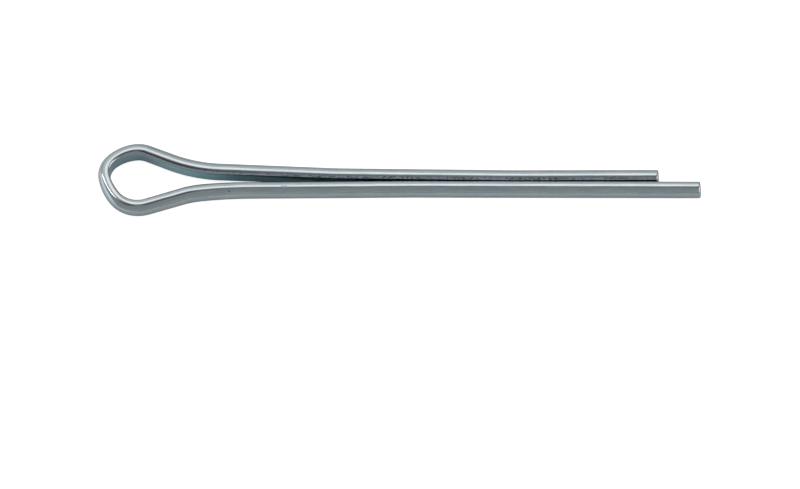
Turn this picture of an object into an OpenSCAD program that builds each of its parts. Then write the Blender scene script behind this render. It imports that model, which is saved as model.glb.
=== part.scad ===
// Split pin that retains brake pads: one length of wire with a single flat,
// folded at an eye so that the flats face each other. It lies on its side:
// X runs along the shank, Y from leg to leg, Z up from what it lies on.

/* [Wire] */
// Diameter of the wire before its flat was rolled
wire_d = 2.15; // [1.6:0.05:2.6]
// Radius of the two corners between the flat and the round side
corner_r = 0.2; // [0.17:0.01:0.3]
// Bevel round the cut end of each leg
tip_bevel = 0.12; // [0.05:0.01:0.15]

/* [Depth of the flat, which faces inwards] */
// Depth of the flat along the legs
leg_flat_depth = 0.4; // [0.25:0.05:0.6]
// Depth of the flat at the two necks, where it is shallowest
neck_flat_depth = 0.3; // [0.25:0.05:0.6]
// Depth of the flat at the end of the crown, where the fold begins to thin the wire
crown_flat_depth = 0.65; // [0.3:0.05:0.8]
// Depth of the flat at the end of the shoulder, where the wire is thinnest
shoulder_flat_depth = 0.7; // [0.3:0.05:0.8]
// Depth of the flat at the end of the back
back_flat_depth = 0.55; // [0.3:0.05:0.8]

/* [Legs] */
// Gap between the two flats where the legs are closest, at the short leg's bend nearest its tip
leg_gap = 0.12; // [0.06:0.02:0.6]
// Angle by which the legs part from there towards their tips
leg_spread_angle = 0.3; // [0:0.1:0.6]
// How far the long leg reaches past the short one
leg_step = 5.3; // [1:0.1:10]
// Straight run at the end of the short leg
short_end_run = 17.3; // [12:0.1:25]
// Straight run in the middle of the short leg
short_middle_run = 20.6; // [15:0.1:30]
// Straight run of the short leg next to the neck
short_root_run = 13.5; // [8:0.1:20]
// Straight run of the long leg next to the neck
long_root_run = 19.2; // [10:0.1:25]

/* [Set of the legs] */
// Radius of the slight bends that set the legs
set_r = 60; // [40:5:100]
// Slight bend in the short leg, towards its tip
short_tip_set_angle = 0.9; // [0.5:0.1:1.5]
// Slight bend in the short leg, towards its neck
short_root_set_angle = 1.9; // [1:0.1:2.5]
// Slight bend in the long leg
long_set_angle = 0.6; // [0.3:0.1:1]

/* [Necks] */
// Radius of the short leg's neck, where it spreads into the eye
short_neck_r = 18.7; // [14:0.1:24]
// Turn of the short leg's neck
short_neck_angle = 19.7; // [17:0.1:22]
// Straight flank between the short leg's neck and the rise to the crown
short_flank = 3.2; // [2:0.1:5]
// Radius of the long leg's neck
long_neck_r = 11.4; // [8:0.1:16]
// Turn of the long leg's neck
long_neck_angle = 12; // [10:0.5:14]
// Slight turn that leads out of the long leg's neck
long_lead_angle = 6; // [5:0.5:8]

/* [Eye] */
// Radius where the flank rises to the crown, the eye's widest part on the short leg's side
rise_r = 3.1; // [2.6:0.1:3.6]
// Turn where the flank rises to the crown
rise_angle = 34.5; // [30:0.5:38]
// Radius of the crown
crown_r = 4.8; // [4:0.1:5.6]
// Turn of the crown
crown_angle = 34; // [30:0.5:38]
// Radius of the shoulder between the crown and the back
shoulder_r = 2.4; // [2.1:0.1:3]
// Turn of the shoulder
shoulder_angle = 57; // [52:0.5:62]
// Radius of the eye's back, across the pin's end
back_r = 7.6; // [6.5:0.1:9]
// Turn of the back
back_angle = 23.5; // [20:0.5:27]
// Radius of the heel, the eye's widest part on the long leg's side
heel_r = 3.5; // [3:0.1:4]

/* [Hidden] */

// Facets of the round side, facets of each corner, and the most that a bend turns from ring to ring
round_facet_count = 24;
corner_facet_count = 3;
ring_angle = 5;

wire_r = wire_d / 2;
closest_pitch = wire_d - 2 * leg_flat_depth + leg_gap;
tip_pitch = closest_pitch + (2 * short_end_run + leg_step) * sin(leg_spread_angle / 2);

// The heel takes what is left of the turn that brings the long leg back beside the short one.
outward_angle = short_tip_set_angle + short_root_set_angle + short_neck_angle
    + long_neck_angle + long_lead_angle + long_set_angle;
heel_angle = 180 - leg_spread_angle + outward_angle - rise_angle - crown_angle - shoulder_angle - back_angle;

// Each stretch of the wire, from the short leg's tip round to the long leg's tip:
// [straight run, radius of the bend after it, turn of that bend, depth of the flat at its end].
// A turn is positive where it goes round the eye.
function stretches(flank, last) = [
    [short_end_run, set_r, -short_tip_set_angle, leg_flat_depth],
    [short_middle_run, set_r, -short_root_set_angle, leg_flat_depth],
    [short_root_run, short_neck_r, -short_neck_angle, neck_flat_depth],
    [short_flank, rise_r, rise_angle, leg_flat_depth],
    [0, crown_r, crown_angle, crown_flat_depth],
    [0, shoulder_r, shoulder_angle, shoulder_flat_depth],
    [0, back_r, back_angle, back_flat_depth],
    [0, heel_r, heel_angle, leg_flat_depth],
    [flank, long_neck_r, -long_neck_angle, neck_flat_depth],
    [0, set_r, -long_lead_angle, leg_flat_depth],
    [long_root_run, set_r, -long_set_angle, leg_flat_depth],
    [last, set_r, 0, leg_flat_depth]
];

// A place on the route is [x, y, heading]. A bend's centre lies on the side that it turns to.
function ahead(place, run) = [
    place.x + run * cos(place.z),
    place.y + run * sin(place.z),
    place.z
];
function turned(place, r, turn) = [
    place.x + sign(turn) * r * (sin(place.z + turn) - sin(place.z)),
    place.y - sign(turn) * r * (cos(place.z + turn) - cos(place.z)),
    place.z + turn
];
function after(place, row) = turned(ahead(place, row[0]), row[1], row[2]);
function route(rows, place, i = 0) =
    i == len(rows) ? [place] : concat([place], route(rows, after(place, rows[i]), i + 1));

// The long leg's flank and its last run are as long as it takes to bring that leg's tip
// the tips' pitch away from the short leg's tip, and a step past it.
start = [0, 0, 180 + leg_spread_angle / 2];
open_rows = stretches(0, 0);
open_end = route(open_rows, start)[len(open_rows)];
long_heading = open_end.z;
flank_heading = long_heading + long_neck_angle + long_lead_angle + long_set_angle;
missing = [leg_step - open_end.x, -tip_pitch - open_end.y];
heading_share = sin(long_heading - flank_heading);
long_flank = (missing.x * sin(long_heading) - missing.y * cos(long_heading)) / heading_share;
long_end_run = (missing.y * cos(flank_heading) - missing.x * sin(flank_heading)) / heading_share;
rows = stretches(long_flank, long_end_run);
places = route(rows, start);
finish = places[len(rows)];

// Places where the wire's section is drawn, each with the depth of its flat: at both ends of every
// straight run and all along each bend. The depth changes evenly along a stretch.
function bend_length(row) = row[1] * abs(row[2]) * PI / 180;
function with_depth(place, i, gone) =
    let (
        from = i == 0 ? leg_flat_depth : rows[i - 1][3],
        share = gone / (rows[i][0] + bend_length(rows[i]))
    )
    [place.x, place.y, place.z, from + (rows[i][3] - from) * share];
inner_places = [
    for (i = [0 : len(rows) - 1])
        let (
            run = rows[i][0],
            bend_start = ahead(places[i], run),
            steps = ceil(abs(rows[i][2]) / ring_angle)
        )
            each concat(
                run > 0 && steps > 0 ? [with_depth(bend_start, i, run)] : [],
                [
                    for (k = [1 : 1 : steps])
                        let (place = turned(bend_start, rows[i][1], rows[i][2] * k / steps))
                            with_depth(place, i, run + bend_length(rows[i]) * k / steps)
                ]
            )
];

// The wire's section as [towards the flat, up] points. Each corner's arc touches the flat and the
// round side. An inset section is smaller all round.
function arc(centre, r, from, to, steps) = [
    for (k = [0 : steps])
        let (angle = from + (to - from) * k / steps)
            centre + r * [cos(angle), sin(angle)]
];
function section(flat_depth, inset) =
    let (
        corner_at = wire_r - flat_depth - corner_r,
        corner_up = sqrt(pow(wire_r - corner_r, 2) - pow(corner_at, 2)),
        edge_angle = atan2(corner_up, corner_at),
        facet_angle = (360 - 2 * edge_angle) / round_facet_count,
        round_from = edge_angle + facet_angle,
        round_to = 360 - edge_angle - facet_angle
    )
    concat(
        arc([corner_at, corner_up], corner_r - inset, 0, edge_angle, corner_facet_count),
        arc([0, 0], wire_r - inset, round_from, round_to, round_facet_count - 2),
        arc([corner_at, -corner_up], corner_r - inset, -edge_angle, 0, corner_facet_count)
    );
function ring(place, flat_depth, inset = 0) = [
    for (p = section(flat_depth, inset))
        [place.x - p.x * sin(place.z), place.y + p.x * cos(place.z), p.y]
];

// Both cut ends are bevelled: a smaller section at the end, the full one a bevel's depth behind it.
rings = concat(
    [ring(start, leg_flat_depth, tip_bevel), ring(ahead(start, tip_bevel), leg_flat_depth)],
    [for (place = inner_places) ring(place, place[3])],
    [ring(ahead(finish, -tip_bevel), leg_flat_depth), ring(finish, leg_flat_depth, tip_bevel)]
);
points = [for (r = rings) each r];
sides = len(rings[0]);
last_ring = len(rings) - 1;
skin = [
    for (i = [0 : last_ring - 1])
        for (k = [0 : sides - 1])
            let (
                here = i * sides + k,
                beside = i * sides + (k + 1) % sides
            )
                each [[here, here + sides, beside], [beside, here + sides, beside + sides]]
];
start_cap = [for (k = [0 : sides - 1]) k];
finish_cap = [for (k = [sides - 1 : -1 : 0]) last_ring * sides + k];

// The middle of the part's box, and the level of what it lies on.
middle_x = (min([for (p = points) p.x]) + max([for (p = points) p.x])) / 2;
middle_y = (min([for (p = points) p.y]) + max([for (p = points) p.y])) / 2;
underside = min([for (p = points) p.z]);

module split_pin() {
    color("lightslategray")
        translate([-middle_x, -middle_y, -underside])
            polyhedron(points = points, faces = concat([start_cap, finish_cap], skin));
}

split_pin();
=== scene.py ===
"""Looks of the split pin: one folded wire with a bright plate, on a pale floor under soft lamps."""

import math

import bpy
import numpy as np
from mathutils import Matrix, Vector


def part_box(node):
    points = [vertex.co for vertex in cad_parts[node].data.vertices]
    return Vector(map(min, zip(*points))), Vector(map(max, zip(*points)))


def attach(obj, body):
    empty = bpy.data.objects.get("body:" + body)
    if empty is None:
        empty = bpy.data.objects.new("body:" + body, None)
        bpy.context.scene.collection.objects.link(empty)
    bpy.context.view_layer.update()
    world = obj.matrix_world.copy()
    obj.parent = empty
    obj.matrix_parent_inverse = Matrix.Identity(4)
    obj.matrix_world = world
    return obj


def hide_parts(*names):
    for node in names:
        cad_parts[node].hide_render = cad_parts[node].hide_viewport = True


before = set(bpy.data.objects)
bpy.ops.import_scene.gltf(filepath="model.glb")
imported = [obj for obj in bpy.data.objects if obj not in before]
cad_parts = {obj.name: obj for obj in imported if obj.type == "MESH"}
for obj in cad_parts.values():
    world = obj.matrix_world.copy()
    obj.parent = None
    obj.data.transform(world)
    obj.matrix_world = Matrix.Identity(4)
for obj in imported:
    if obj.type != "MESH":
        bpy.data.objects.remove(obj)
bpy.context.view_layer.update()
NODE = "split_pin"
LOW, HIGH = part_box(NODE)
MM = 0.001

# ---------------------------------------------------------------- the wire, in mm and degrees

WIRE_R = (HIGH.z - LOW.z) / MM / 2
CORNER_R = 0.2
TIP_BEVEL = 0.12
LEG_GAP = 0.12
LEG_SPREAD = 0.3
LEG_STEP = 5.3
SET_R = 60.0

# Depth of the flat along the legs, at the necks and where the crown, the shoulder and the back end.
LEG_FLAT = 0.4
NECK_FLAT = 0.3
CROWN_FLAT = 0.65
SHOULDER_FLAT = 0.7
BACK_FLAT = 0.55

# (straight run, radius of the bend after it, turn of that bend, depth of the flat at its end),
# from the short leg's tip to the end of the eye's back.
SHORT_SIDE = [
    (17.3, SET_R, -0.9, LEG_FLAT),
    (20.6, SET_R, -1.9, LEG_FLAT),
    (13.5, 18.7, -19.7, NECK_FLAT),
    (3.2, 3.1, 34.5, LEG_FLAT),
    (0.0, 4.8, 34.0, CROWN_FLAT),
    (0.0, 2.4, 57.0, SHOULDER_FLAT),
    (0.0, 7.6, 23.5, BACK_FLAT),
]
HEEL_R = 3.5
LONG_NECK_R = 11.4
LONG_NECK_TURN = -12.0
LONG_LEAD_TURN = -6.0
LONG_ROOT_RUN = 19.2
LONG_SET_TURN = -0.6

# ---------------------------------------------------------------- fineness of the mesh

STEP = 0.22             # mm from ring to ring
TIP_FACETS = 3          # on the rounded edge of a cut end
CORNER_FACETS = 6
ROUND_FACETS = 44
FLAT_FACETS = 8


def ahead(place, run):
    """The place a straight run further on. A place is (x, y, heading in degrees)."""
    x, y, heading = place
    a = math.radians(heading)
    return (x + run * math.cos(a), y + run * math.sin(a), heading)


def turned(place, r, turn):
    """The place at the end of a bend, which goes to the left where turn is above 0."""
    x, y, heading = place
    side = math.copysign(1, turn)
    a = math.radians(heading)
    b = math.radians(heading + turn)
    return (
        x + side * r * (math.sin(b) - math.sin(a)),
        y - side * r * (math.cos(b) - math.cos(a)),
        heading + turn,
    )


def stretches(flank, last):
    """All the stretches. The heel takes what is left of the turn that brings the long leg back."""
    long_turn = LONG_NECK_TURN + LONG_LEAD_TURN + LONG_SET_TURN
    heel_turn = 180 - LEG_SPREAD - sum(row[2] for row in SHORT_SIDE) - long_turn
    return SHORT_SIDE + [
        (0.0, HEEL_R, heel_turn, LEG_FLAT),
        (flank, LONG_NECK_R, LONG_NECK_TURN, NECK_FLAT),
        (0.0, SET_R, LONG_LEAD_TURN, LEG_FLAT),
        (LONG_ROOT_RUN, SET_R, LONG_SET_TURN, LEG_FLAT),
        (last, SET_R, 0.0, LEG_FLAT),
    ]


def route(rows, place):
    """The places where the stretches start, and the end of the last one."""
    places = [place]
    for run, r, turn, _ in rows:
        place = turned(ahead(place, run), r, turn)
        places.append(place)
    return places


def closed_rows(start):
    """The stretches, with the long leg brought back beside the short one at the stated gap."""
    open_places = route(stretches(0.0, 0.0), start)
    flank_heading = math.radians(open_places[len(SHORT_SIDE) + 1][2])
    x, y, long_heading = open_places[-1]
    long_heading = math.radians(long_heading)
    parting = (2 * SHORT_SIDE[0][0] + LEG_STEP) * math.sin(math.radians(LEG_SPREAD / 2))
    pitch = 2 * (WIRE_R - LEG_FLAT) + LEG_GAP + parting
    missing_x = LEG_STEP - x
    missing_y = -pitch - y
    share = math.sin(long_heading - flank_heading)
    flank = (missing_x * math.sin(long_heading) - missing_y * math.cos(long_heading)) / share
    last = (missing_y * math.cos(flank_heading) - missing_x * math.sin(flank_heading)) / share
    return stretches(flank, last)


def wire_places():
    """Places along the wire: (x, y, heading, depth of the flat, distance along the wire)."""
    place = (0.0, 0.0, 180.0 + LEG_SPREAD / 2)
    out = [(*place, LEG_FLAT, 0.0)]
    along = 0.0
    flat_from = LEG_FLAT
    for run, r, turn, flat_to in closed_rows(place):
        bend_start = ahead(place, run)
        arc = r * math.radians(abs(turn))
        made = []
        if run > 0:
            count = max(1, round(run / STEP))
            for k in range(1, count + 1):
                made.append((ahead(place, run * k / count), run * k / count))
        if turn:
            count = max(1, round(arc / STEP))
            for k in range(1, count + 1):
                made.append((turned(bend_start, r, turn * k / count), run + arc * k / count))
        for at, gone in made:
            flat_depth = flat_from + (flat_to - flat_from) * gone / (run + arc)
            out.append((*at, flat_depth, along + gone))
        along += run + arc
        flat_from = flat_to
        place = turned(bend_start, r, turn)
    return out


def corner_place(flat_depth):
    """How far the middle of the corner beside the flat lies from the wire's middle."""
    return WIRE_R - flat_depth - CORNER_R


def section(flat_depth, inset):
    """The wire's section as (towards the flat, up): corner, round side, corner and flat."""
    corner_at = corner_place(flat_depth)
    corner_up = math.sqrt((WIRE_R - CORNER_R) ** 2 - corner_at ** 2)
    edge = math.atan2(corner_up, corner_at)
    corner_r = CORNER_R - inset
    round_r = WIRE_R - inset
    points = []
    for k in range(CORNER_FACETS + 1):
        t = edge * k / CORNER_FACETS
        points.append((corner_at + corner_r * math.cos(t), corner_up + corner_r * math.sin(t)))
    for k in range(1, ROUND_FACETS):
        t = edge + (2 * math.pi - 2 * edge) * k / ROUND_FACETS
        points.append((round_r * math.cos(t), round_r * math.sin(t)))
    points += [(u, -z) for u, z in reversed(points[:CORNER_FACETS + 1])]
    flat_at = points[0][0]
    for k in range(1, FLAT_FACETS):
        points.append((flat_at, corner_up * (2 * k / FLAT_FACETS - 1)))
    return points


def wire_rings():
    """The rings of the sweep: (place along the wire, inset), with the cut ends' edges rounded."""
    places = wire_places()
    start, end = places[0][:3], places[-1][:3]
    length = places[-1][4]
    tilts = [math.pi / 2 * k / TIP_FACETS for k in range(TIP_FACETS + 1)]
    edge = [(TIP_BEVEL * (1 - math.cos(t)), TIP_BEVEL * (1 - math.sin(t))) for t in tilts]
    rings = [((*ahead(start, run), LEG_FLAT, run), inset) for run, inset in edge]
    rings += [(place, 0.0) for place in places[1:-1]]
    for run, inset in reversed(edge):
        rings.append(((*ahead(end, -run), LEG_FLAT, length - run), inset))
    return rings


def wire_mesh(name):
    """The whole wire. It carries its own coordinates, which the plate's material reads."""
    rings = wire_rings()
    points = []
    wire_place = []
    past_corner = []
    for (x, y, heading, flat_depth, along), inset in rings:
        a = math.radians(heading)
        for u, z in section(flat_depth, inset):
            points.append((x - u * math.sin(a), y + u * math.cos(a), z))
            wire_place.append((along, u, z))
            past_corner.append(u - corner_place(flat_depth))
    sides = len(points) // len(rings)
    faces = [tuple(reversed(range(sides)))]
    for i in range(len(rings) - 1):
        for k in range(sides):
            here = i * sides + k
            beside = i * sides + (k + 1) % sides
            faces.append((here, beside, beside + sides, here + sides))
    faces.append(tuple(range((len(rings) - 1) * sides, len(rings) * sides)))
    co = np.array(points)
    low, high = co.min(0), co.max(0)
    co = (co - [(low[0] + high[0]) / 2, (low[1] + high[1]) / 2, low[2]]) * MM
    co = np.clip(co, LOW, HIGH)
    mesh = bpy.data.meshes.new(name)
    mesh.from_pydata(co.tolist(), [], faces)
    mesh.update()
    attribute = mesh.attributes.new("wire_place", "FLOAT_VECTOR", "POINT")
    attribute.data.foreach_set("vector", np.array(wire_place, np.float32).ravel())
    attribute = mesh.attributes.new("past_corner", "FLOAT", "POINT")
    attribute.data.foreach_set("value", np.array(past_corner, np.float32))
    mesh.shade_smooth()
    for cut_end in (0, len(faces) - 1):
        mesh.polygons[cut_end].use_smooth = False
    return mesh


# ---------------------------------------------------------------- nodes

# How far a noise's shift of 1 moves it along the wire, towards the flat and up.
NOISE_SHIFT = (1.0, 0.37, 1.7)


def node(tree, kind, settings=(), inputs=()):
    """A new node. Each input is a value, or the socket that feeds it."""
    made = tree.nodes.new(kind)
    for key, value in dict(settings).items():
        setattr(made, key, value)
    for key, value in dict(inputs).items():
        if isinstance(value, bpy.types.NodeSocket):
            tree.links.new(value, made.inputs[key])
        else:
            made.inputs[key].default_value = value
    return made


def new_material(name):
    material = bpy.data.materials.new(name)
    material.use_nodes = True
    tree = material.node_tree
    tree.nodes.clear()
    output = tree.nodes.new("ShaderNodeOutputMaterial")
    return material, tree, output


def maths(tree, operation, *values):
    made = node(tree, "ShaderNodeMath", {"operation": operation}, dict(enumerate(values)))
    return made.outputs[0]


def product(tree, first, *others):
    for other in others:
        first = maths(tree, "MULTIPLY", first, other)
    return first


def vectors(tree, operation, *values):
    made = node(tree, "ShaderNodeVectorMath", {"operation": operation}, dict(enumerate(values)))
    return made.outputs


def part_of(tree, vector, letter):
    return node(tree, "ShaderNodeSeparateXYZ", inputs={0: vector}).outputs[letter]


def ramp(tree, value, from_min, from_max, to_min=0.0, to_max=1.0):
    """Goes smoothly from to_min to to_max as the value goes from from_min to from_max."""
    made = node(tree, "ShaderNodeMapRange", {"interpolation_type": "SMOOTHSTEP"}, {
        "Value": value, "From Min": from_min, "From Max": from_max,
        "To Min": to_min, "To Max": to_max})
    return made.outputs[0]


def blend(tree, share, first, second):
    """Goes from the first colour to the second. Each is (red, green, blue) or a socket."""
    inputs = {0: share}
    for key, color in ((6, first), (7, second)):
        inputs[key] = (*color, 1) if isinstance(color, tuple) else color
    return node(tree, "ShaderNodeMix", {"data_type": "RGBA"}, inputs).outputs[2]


def scaled(tree, color, level):
    made = node(tree, "ShaderNodeVectorMath", {"operation": "SCALE"}, {0: color, 3: level})
    return made.outputs[0]


def noise(tree, place, waves_per_mm, detail, shift):
    """Noise over the wire's own coordinates, which are along it, towards the flat and up."""
    shifts = tuple(shift * part for part in NOISE_SHIFT)
    moved = vectors(tree, "MULTIPLY_ADD", place, waves_per_mm, shifts)[0]
    made = node(tree, "ShaderNodeTexNoise", inputs={
        "Vector": moved, "Scale": 1.0, "Detail": detail})
    return made.outputs[0]


def bump(tree, height, distance_mm, normal=None):
    inputs = {"Height": height, "Distance": distance_mm * MM, "Strength": 1.0}
    if normal is not None:
        inputs["Normal"] = normal
    return node(tree, "ShaderNodeBump", inputs=inputs).outputs[0]


# ---------------------------------------------------------------- the plate

# A ramp is (from, to) or (from, to, level at the first, level at the second).
# Across the section, in mm past the corner's middle towards the flat:
FLAT_BAND = (0.12, 0.19)
# LINE_BAND: where the painted dark line lies, which stands for the dark room reflected below the
# highlight.
LINE_BAND = (-0.24, -0.15), (0.0, -0.09)
# CORNER_BAND: the crushed corner, whose darkening is partly the crushed plate and partly painted
# shade.
CORNER_BAND = (-0.12, -0.02), (0.20, 0.12)
# and in mm above or below the wire's middle:
FLAT_RISE = (0.90, 0.74)

# Ramps along the wire, in mm from the short leg's tip.
# The painted dark line fades in the eye and towards the short leg's tip.
LINE_IN_EYE = (67.0, 63.0, 0.12, 1.0)
LINE_ON_SHORT_LEG = (44.0, 54.0, 0.30, 1.0)
# The crushed corner and its painted shade are strongest on the short leg.
CRUSHED_LEG = (60.0, 44.0, 0.08, 1.0)
TEAL_LEG_TO_EYE = (56.0, 64.0)
# On the flat: painted shade where the legs face each other across the gap, and painted light at the
# crown's flank.
PAINTED_SHADE_IN_GAP = (38.0, 45.0), (56.0, 48.0, 0.0, 0.35)
PAINTED_LIGHT_ON_FLAT = (52.0, 57.0), (64.0, 60.0, 0.0, 0.32)

# Noises: waves per mm along the wire, towards the flat and up, then detail and shift.
PATCHES = (0.28, 1.1, 1.1), 3.0, 5.0
STREAKS = (0.35, 5.5, 5.5), 3.0, 11.0
MOTTLE = (2.5, 6.0, 6.0), 5.0, 23.0
WAVES = (0.55, 0.8, 0.8), 1.0, 31.0

# Ramps from those noises to tint and shade.
PATCHES_TINT = (0.35, 0.65)
STREAKS_SHADE = (0.25, 0.75, 0.90, 1.06)
MOTTLE_SHADE = (0.3, 0.7, 0.97, 1.03)
# How the mottle breaks up the painted shade on the line and on the corner.
MOTTLE_ON_LINE = (0.72, 0.42, 0.20, 0.55)
MOTTLE_ON_CORNER = (0.60, 0.42, 0.0, 0.55)
PATCHES_ON_CORNER = (0.35, 0.60, 0.5, 1.3)

COOL_PLATE, PALE_PLATE = (0.43, 0.535, 0.575), (0.475, 0.555, 0.575)
TEAL_ON_LEG, TEAL_IN_EYE = (0.275, 0.50, 0.545), (0.34, 0.51, 0.555)
# The painted dark line's purple grey stands for the dark, purple-fringed reflection below the
# highlight.
PAINTED_LINE_COLOR = (0.40, 0.40, 0.475)
CRUSHED_COLOR = (0.465, 0.535, 0.61)

# Two marks on the long leg: place and reach, in mm along the wire, towards the flat and up.
PIT_AT, PIT_SIZE = (89.0, -0.59, 0.90), (0.16, 0.12, 0.12)
NICK_AT, NICK_SIZE = (95.85, -0.13, 1.07), (0.50, 0.10, 0.10)
MARK_FADE = (1.0, 0.35)         # in shares of the reach
# The pit's darkness is painted shade in its dent.
PIT_PAINTED_SHADE = 0.75
NICK_ROUGHNESS = 0.2

SMOOTHEST = 0.045
STREAKS_ROUGHNESS = 0.09

# Relief in mm, where a mark goes inwards.
WAVES_RELIEF = 0.009
STREAKS_RELIEF = 0.0024
MOTTLE_RELIEF = 0.0015
CRUSHED_RELIEF = 0.0045
MARK_RELIEF = -0.03


def plated_steel():
    """Bright zinc plate over drawn wire: cool grey, teal on the flat, mottled where rolled, with
    painted shade in a line below the highlight, on the crushed corner, in a pit and in the gap
    between the legs, and painted light on the flat.
    """
    material, tree, output = new_material("plated_wire")
    place = node(tree, "ShaderNodeAttribute", {"attribute_name": "wire_place"}).outputs["Vector"]
    past = node(tree, "ShaderNodeAttribute", {"attribute_name": "past_corner"}).outputs["Fac"]
    along = part_of(tree, place, "X")
    rise = maths(tree, "ABSOLUTE", part_of(tree, place, "Z"))
    patches = noise(tree, place, *PATCHES)
    streaks = noise(tree, place, *STREAKS)
    mottle = noise(tree, place, *MOTTLE)
    waves = noise(tree, place, *WAVES)

    def over(value, *ramps):
        return product(tree, *(ramp(tree, value, *numbers) for numbers in ramps))

    def mark(at, size):
        """1 at a place on the wire, falling to 0 at its reach."""
        away = vectors(tree, "DIVIDE", vectors(tree, "SUBTRACT", place, at)[0], size)[0]
        return over(vectors(tree, "LENGTH", away)["Value"], MARK_FADE)

    # Where on the wire: the flat's face; the thin line beside its corner, where a dark line is
    # painted that stands for the dark room reflected below the highlight; and the corner itself,
    # which the rolls crushed, whose mottled darkening is partly the crushed plate and partly
    # painted shade. It is rough on the short leg and smooth from the eye on.
    on_flat = product(tree, over(past, FLAT_BAND), over(rise, FLAT_RISE))
    painted_line_mask = product(tree, over(past, *LINE_BAND), over(along, LINE_IN_EYE, LINE_ON_SHORT_LEG))
    crushed = product(tree, over(past, *CORNER_BAND), over(along, CRUSHED_LEG))
    pit = mark(PIT_AT, PIT_SIZE)
    nick = mark(NICK_AT, NICK_SIZE)

    # Tint.
    tint = blend(tree, over(patches, PATCHES_TINT), COOL_PLATE, PALE_PLATE)
    flat_tint = blend(tree, over(along, TEAL_LEG_TO_EYE), TEAL_ON_LEG, TEAL_IN_EYE)
    tint = blend(tree, on_flat, tint, flat_tint)
    # The line's purple grey is a painted reflection of the dark room below the highlight.
    tint = blend(tree, painted_line_mask, tint, PAINTED_LINE_COLOR)
    tint = blend(tree, crushed, tint, CRUSHED_COLOR)

    # Shade.
    shade = product(tree, over(streaks, STREAKS_SHADE), over(mottle, MOTTLE_SHADE))
    # Painted shade on the line below the highlight, standing for the dark room's reflection.
    painted_line_shade = product(tree, painted_line_mask, over(mottle, MOTTLE_ON_LINE))
    # The crushed corner's darkening is partly the crushed plate and partly painted shade in its
    # hollows.
    crush_and_painted_shade = product(tree, crushed, over(mottle, MOTTLE_ON_CORNER))
    crush_and_painted_shade = product(tree, crush_and_painted_shade, over(patches, PATCHES_ON_CORNER))
    # The pit's darkness is painted shade in its dent.
    painted_pit_shade = product(tree, pit, PIT_PAINTED_SHADE)
    for dark in (painted_line_shade, crush_and_painted_shade, painted_pit_shade):
        shade = product(tree, shade, maths(tree, "SUBTRACT", 1.0, dark))
    # On the flat: painted shade where the legs face each other across the gap, and painted light at
    # the crown's flank.
    painted_flat_light_and_shade = maths(tree, "SUBTRACT", over(along, *PAINTED_LIGHT_ON_FLAT), over(along, *PAINTED_SHADE_IN_GAP))
    painted_flat_light_and_shade = product(tree, on_flat, painted_flat_light_and_shade)
    shade = product(tree, shade, maths(tree, "ADD", 1.0, painted_flat_light_and_shade))

    # Gloss.
    rough = maths(tree, "MULTIPLY_ADD", streaks, STREAKS_ROUGHNESS, SMOOTHEST)
    rough = maths(tree, "MULTIPLY_ADD", nick, NICK_ROUGHNESS, rough)

    # Relief.
    normal = bump(tree, waves, WAVES_RELIEF)
    normal = bump(tree, streaks, STREAKS_RELIEF, normal)
    normal = bump(tree, mottle, MOTTLE_RELIEF, normal)
    normal = bump(tree, product(tree, mottle, crushed), CRUSHED_RELIEF, normal)
    normal = bump(tree, maths(tree, "MAXIMUM", pit, nick), MARK_RELIEF, normal)

    bsdf = node(tree, "ShaderNodeBsdfPrincipled", inputs={
        "Base Color": scaled(tree, tint, shade), "Metallic": 1.0,
        "Roughness": rough, "Normal": normal})
    tree.links.new(bsdf.outputs["BSDF"], output.inputs["Surface"])
    return material


# ---------------------------------------------------------------- the floor, in metres

FLOOR_SIDE = 4.0
FLOOR_COLOR = (0.77, 0.78, 0.795, 1)
FLOOR_GLOW = 0.80
WHITE_AWAY = (0.05, 0.30)                       # ramp of the distance from the pin's middle
WHITE_BESIDE_EYE = (-0.036, -0.043, 0.0, 0.33)  # ramp of X


def pale_floor():
    """Paper that the camera sees as white, and that the plate sees as plain paper near the pin."""
    material, tree, output = new_material("pale_floor")
    paper = node(tree, "ShaderNodeBsdfDiffuse", inputs={"Color": FLOOR_COLOR})
    path = node(tree, "ShaderNodeLightPath").outputs
    where = node(tree, "ShaderNodeTexCoord").outputs["Object"]
    away = ramp(tree, vectors(tree, "LENGTH", where)["Value"], *WHITE_AWAY)
    beside_eye = ramp(tree, part_of(tree, where, "X"), *WHITE_BESIDE_EYE)
    mirrored = maths(tree, "MAXIMUM", path["Is Glossy Ray"], path["Is Transmission Ray"])
    mirrored = product(tree, mirrored, maths(tree, "MAXIMUM", away, beside_eye))
    seen = maths(tree, "MAXIMUM", path["Is Camera Ray"], mirrored)
    glow = node(tree, "ShaderNodeEmission", inputs={
        "Color": (1, 1, 1, 1), "Strength": product(tree, seen, FLOOR_GLOW)})
    both = node(tree, "ShaderNodeAddShader", inputs={0: paper.outputs[0], 1: glow.outputs[0]})
    tree.links.new(both.outputs[0], output.inputs["Surface"])
    return material


# ---------------------------------------------------------------- the pin on its floor

PLATE = plated_steel()
pin = bpy.data.objects.new("pin_wire", wire_mesh("pin_wire"))
bpy.context.scene.collection.objects.link(pin)
pin.data.materials.append(PLATE)
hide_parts(NODE)
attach(pin, "root")
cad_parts[NODE].data.materials.clear()
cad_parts[NODE].data.materials.append(PLATE)

bpy.ops.mesh.primitive_plane_add(size=FLOOR_SIDE, location=(0, 0, 0))
floor = bpy.context.object
floor.name = "floor"
floor.data.materials.append(pale_floor())

# ---------------------------------------------------------------- the camera

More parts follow.
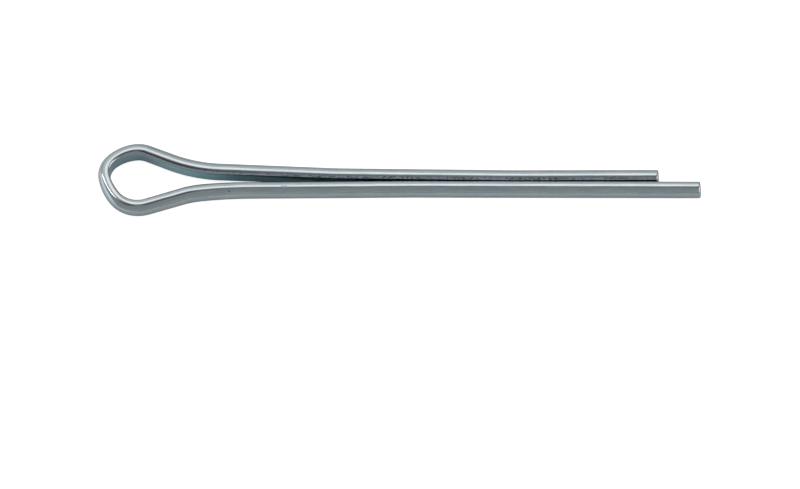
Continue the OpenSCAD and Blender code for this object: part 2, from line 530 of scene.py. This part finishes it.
VIEW_UP_ANGLE = 60.0            # the camera looks down on the pin by this angle
VIEW_SIDE_ANGLE = 6.0           # and stands this far to the tips' side
CAMERA_AWAY = 2.5               # m; further off, the pin is beyond the other views' reach
CAMERA_REACH = 20.0             # m
SENSOR = 36.0                   # mm
PIXELS_PER_MM = 8.105
IMAGE_W, IMAGE_H = 800, 489
AIM_POINT = Vector((0.133, -0.624, WIRE_R)) * MM
AIM_PIXEL = (399.8, 184.25)     # where the photo shows AIM_POINT


def aim_camera():
    """Puts the camera so that AIM_POINT comes at AIM_PIXEL of the image."""
    up_angle = math.radians(VIEW_UP_ANGLE)
    side_angle = math.radians(VIEW_SIDE_ANGLE)
    level = Vector((0, -math.cos(up_angle), math.sin(up_angle)))
    right = Vector((math.cos(side_angle), 0, 0)) - math.sin(side_angle) * level
    back = Vector((math.sin(side_angle), 0, 0)) + math.cos(side_angle) * level
    up = Vector((0, math.sin(up_angle), math.cos(up_angle)))
    pixel = MM / PIXELS_PER_MM
    middle = AIM_POINT + right * (IMAGE_W / 2 - AIM_PIXEL[0]) * pixel
    middle = middle - up * (IMAGE_H / 2 - AIM_PIXEL[1]) * pixel
    data = bpy.data.cameras.new("camera")
    data.sensor_width = SENSOR
    data.lens = SENSOR * CAMERA_AWAY / (IMAGE_W * pixel)
    data.clip_end = CAMERA_REACH
    camera = bpy.data.objects.new("camera", data)
    bpy.context.scene.collection.objects.link(camera)
    turn = Matrix((right, up, back)).transposed().to_4x4()
    camera.matrix_world = Matrix.Translation(middle + back * CAMERA_AWAY) @ turn
    bpy.context.scene.camera = camera


# ---------------------------------------------------------------- the lamps and the room

WARM = (1.0, 0.86, 0.85)

# Grey of the room, as a ramp of a direction's Y.
ROOM_GREY = (-0.95, -0.55, 0.43, 0.37)
# Spots of the room: direction, the angles at which each is full and at which it ends, strength.
PALE_SIDE = (-100, 6), 10, 42, 0.95
DARK_ABOVE = (8, 1), 5, 18, 0.55
DARK_TO_EYE = (-20, -2), 6, 16, 0.70
WARM_BEHIND = (-22, 44), 6, 46, 0.52
DARK_COLOR = (1.22, 0.96, 1.13)
GLOW_COLOR = (1, 0.90, 0.87)


def direction_to(side_angle, back_angle):
    """A direction in degrees from the vertical, to the tips' side and behind the pin."""
    tilt = math.radians(math.hypot(side_angle, back_angle))
    heading = math.atan2(back_angle, side_angle)
    return Vector((
        math.sin(tilt) * math.cos(heading),
        math.sin(tilt) * math.sin(heading),
        math.cos(tilt),
    ))


def softbox(name, toward, long_side, short_side, turn, radiance):
    """A lamp that faces the pin from 1 m away. turn is its long side's angle from the X axis."""
    data = bpy.data.lights.new(name, "AREA")
    data.shape = "RECTANGLE"
    data.size = long_side
    data.size_y = short_side
    data.color = WARM
    data.energy = radiance * math.pi * long_side * short_side
    lamp = bpy.data.objects.new(name, data)
    bpy.context.scene.collection.objects.link(lamp)
    lamp.visible_camera = False
    direction = direction_to(*toward)
    angle = math.radians(turn)
    across = Vector((math.cos(angle), math.sin(angle), 0))
    across = (across - direction * across.dot(direction)).normalized()
    along = direction.cross(across)
    facing = Matrix((across, along, direction)).transposed().to_4x4()
    lamp.matrix_world = Matrix.Translation(direction) @ facing


def grey_room():
    """Grey all round, paler at the eye's side, warm behind, with two dark spots above the pin."""
    world = bpy.data.worlds.new("room")
    world.use_nodes = True
    bpy.context.scene.world = world
    tree = world.node_tree
    tree.nodes.clear()
    output = tree.nodes.new("ShaderNodeOutputWorld")
    where = node(tree, "ShaderNodeTexCoord").outputs["Generated"]

    def spot(toward, inner, outer, strength):
        """The strength within the inner angle of a direction, falling to 0 at the outer angle."""
        facing = vectors(tree, "DOT_PRODUCT", where, tuple(direction_to(*toward)))["Value"]
        inner, outer = math.cos(math.radians(inner)), math.cos(math.radians(outer))
        return product(tree, ramp(tree, facing, outer, inner), strength)

    level = ramp(tree, part_of(tree, where, "Y"), *ROOM_GREY)
    level = maths(tree, "ADD", level, spot(*PALE_SIDE))
    dark = maths(tree, "MAXIMUM", spot(*DARK_ABOVE), spot(*DARK_TO_EYE))
    level = product(tree, level, maths(tree, "SUBTRACT", 1.0, dark))
    grey = scaled(tree, blend(tree, dark, (1, 1, 1), DARK_COLOR), level)
    glow = scaled(tree, GLOW_COLOR, spot(*WARM_BEHIND))
    light = vectors(tree, "ADD", grey, glow)[0]
    sky = node(tree, "ShaderNodeBackground", inputs={"Color": light, "Strength": 1.0})
    tree.links.new(sky.outputs[0], output.inputs["Surface"])


aim_camera()
softbox("overhead", toward=(-3.5, 27.6), long_side=0.48, short_side=0.425, turn=24, radiance=0.81)
softbox("left_strip", toward=(-46, 15.5), long_side=0.58, short_side=0.055, turn=-28, radiance=5.6)
softbox("right_panel", toward=(68, -12), long_side=1.1, short_side=0.95, turn=0, radiance=2.0)
grey_room()
bpy.context.scene.view_settings.view_transform = "Standard"
